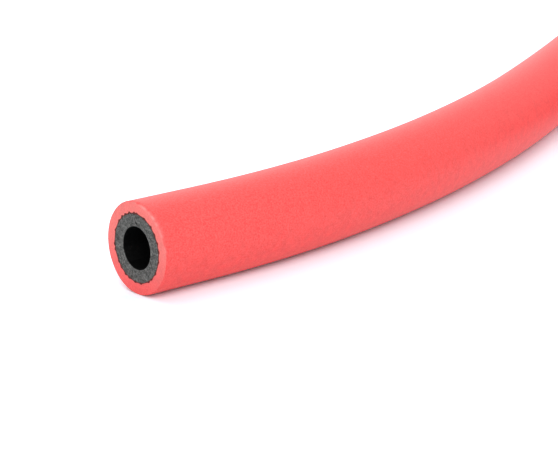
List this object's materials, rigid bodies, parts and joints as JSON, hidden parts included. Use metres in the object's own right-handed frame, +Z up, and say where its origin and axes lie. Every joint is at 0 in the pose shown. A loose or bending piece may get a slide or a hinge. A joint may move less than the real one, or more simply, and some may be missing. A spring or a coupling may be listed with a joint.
{
  "type": "rubber gas tubing",
  "caption": "Flexible hose for low-pressure fuel gas: red rubber cover, textile reinforcement, black rubber lining, cut square, with its spare length in a tied coil.",
  "frame": {"origin": "centre of the bore's mouth at the near cut end of the hose", "axes": "+X into the hose along its straight near end, +Z up from the surface that it lies on, +Y to the left"},
  "size_m": [0.2749, 0.1648, 0.0178],
  "materials": {
    "cover_rubber": "matt, powdery",
    "braid_textile": "dull yarn ends",
    "lining_rubber": "matt, fine grain where cut",
    "tie_nylon": "satin natural nylon"
  },
  "bodies": {
    "root": {"cover": "cover_rubber", "braid": "braid_textile", "lining": "lining_rubber", "coil": "cover_rubber", "coil_tie": "tie_nylon"}
  },
  "joints": []
}
